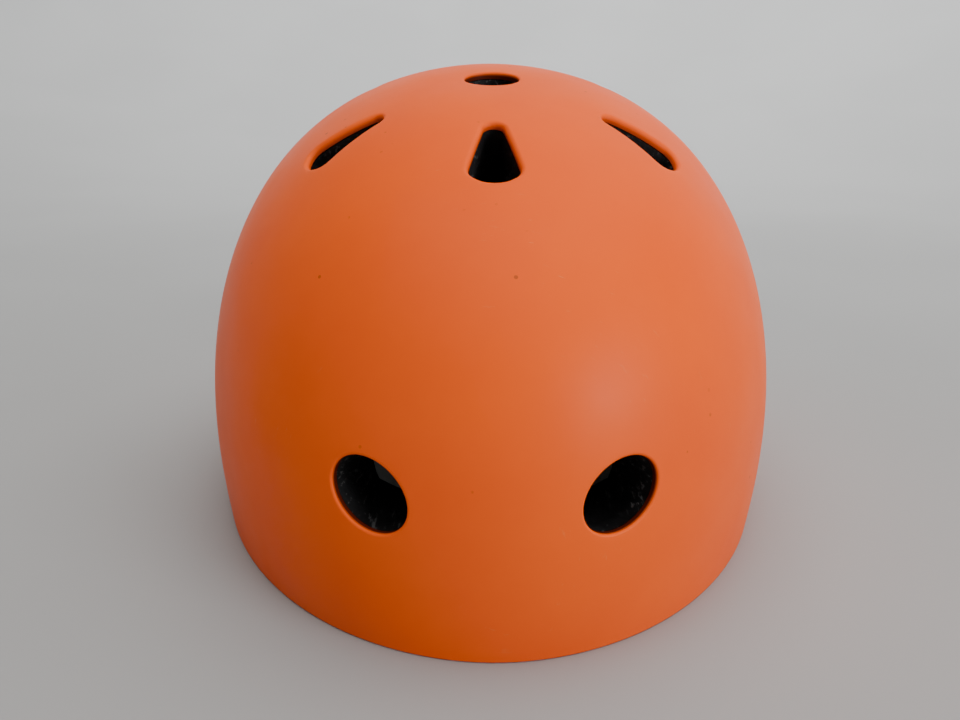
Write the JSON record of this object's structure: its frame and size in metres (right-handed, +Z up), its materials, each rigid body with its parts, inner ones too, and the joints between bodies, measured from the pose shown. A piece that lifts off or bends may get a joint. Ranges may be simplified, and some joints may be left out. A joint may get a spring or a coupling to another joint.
{
  "type": "water helmet",
  "caption": "Vented orange water sports helmet with foam liner, comfort pads, rear dial fit cradle and chin harness.",
  "frame": {"origin": "on the plane that the rim rests on, under the middle of the helmet's length and width", "axes": "+Z up through the crown, the brow faces -Y, the wearer's left is +X"},
  "size_m": [0.2036, 0.2563, 0.1504],
  "materials": {
    "shell_orange": "satin, moulded in colour",
    "liner_foam": "black closed-cell foam",
    "pad_fabric": "brushed knit over foam",
    "hook_tape": "hook tape",
    "webbing": "woven webbing",
    "black_plastic": "moulded acetal, fine texture",
    "dial_rubber": "soft touch",
    "steel": "stainless"
  },
  "bodies": {
    "helmet": {"anchor_nut_front_left": "black_plastic", "anchor_nut_front_right": "black_plastic", "anchor_nut_rear_left": "black_plastic", "anchor_nut_rear_right": "black_plastic", "anchor_plate_front_left": "black_plastic", "anchor_plate_front_right": "black_plastic", "anchor_plate_rear_left": "black_plastic", "anchor_plate_rear_right": "black_plastic", "anchor_screw_front_left": "steel", "anchor_screw_front_right": "steel", "anchor_screw_rear_left": "steel", "anchor_screw_rear_right": "steel", "buckle_female": "black_plastic", "chin_strap_left": "webbing", "chin_strap_right": "webbing", "divider_left": "black_plastic", "divider_right": "black_plastic", "foam_liner": "liner_foam", "hook_crown": "hook_tape", "hook_front_left": "hook_tape", "hook_front_right": "hook_tape", "hook_left": "hook_tape", "hook_rear": "hook_tape", "hook_right": "hook_tape", "lever_pin_left": "steel", "lever_pin_right": "steel", "outer_shell": "shell_orange", "pad_crown": "pad_fabric", "pad_front": "pad_fabric", "pad_left": "pad_fabric", "pad_rear": "pad_fabric", "pad_right": "pad_fabric", "pivot_stud_left": "black_plastic", "pivot_stud_right": "black_plastic", "strap_front_left": "webbing", "strap_front_right": "webbing", "strap_rear_left": "webbing", "strap_rear_right": "webbing", "strap_tail": "webbing", "tail_keeper": "dial_rubber"},
    "headband": {"headband_left": "black_plastic", "headband_right": "black_plastic"},
    "cradle": {"dial_housing": "black_plastic", "cradle_yoke": "black_plastic", "cradle_pad": "pad_fabric", "ratchet_ring": "black_plastic"},
    "dial": {"dial_knob": "dial_rubber", "drive_pinion": "black_plastic", "dial_screw": "steel"},
    "lever_left": {"divider_lever_left": "black_plastic"},
    "lever_right": {"divider_lever_right": "black_plastic"},
    "buckle_insert": {"buckle_male": "black_plastic"},
    "prong_front": {"buckle_prong_front": "black_plastic"},
    "prong_rear": {"buckle_prong_rear": "black_plastic"}
  },
  "joints": [
    {"name": "headband_tilt", "type": "hinge", "parent": "helmet", "child": "headband", "pos_m": [0, 0.056, 0.024], "axis": [1, 0, 0], "range_deg": [-8, 8]},
    {"name": "cradle_slide", "type": "slide", "parent": "headband", "child": "cradle", "axis": [0, -1, 0], "range_m": [0, 0.0119], "deforming": ["headband_left", "headband_right"]},
    {"name": "dial_turn", "type": "hinge", "parent": "cradle", "child": "dial", "pos_m": [0, 0.0915, 0.024], "axis": [0, 1, 0], "range_deg": [0, 180]},
    {"name": "lever_left_hinge", "type": "hinge", "parent": "helmet", "child": "lever_left", "pos_m": [0.053, 0.009, 0.0097], "axis": [0, -1, 0], "range_deg": [0, 70]},
    {"name": "lever_right_hinge", "type": "hinge", "parent": "helmet", "child": "lever_right", "pos_m": [-0.053, 0.009, 0.0097], "axis": [0, 1, 0], "range_deg": [0, 70]},
    {"name": "buckle_release", "type": "slide", "parent": "helmet", "child": "buckle_insert", "axis": [-1, 0, 0], "range_m": [0, 0.02], "deforming": ["chin_strap_right"]},
    {"name": "prong_front_press", "type": "hinge", "parent": "buckle_insert", "child": "prong_front", "pos_m": [-0.0066, 0.0028, 0.0044], "axis": [0, 0, 1], "range_deg": [0, 6], "stiffness_Nm_per_rad": 0.02},
    {"name": "prong_rear_press", "type": "hinge", "parent": "buckle_insert", "child": "prong_rear", "pos_m": [-0.0066, 0.0152, 0.0044], "axis": [0, 0, -1], "range_deg": [0, 6], "stiffness_Nm_per_rad": 0.02}
  ],
  "couplings": [
    {"joint": "dial_turn", "follows": "cradle_slide", "rad_per_m": 263.16}
  ]
}
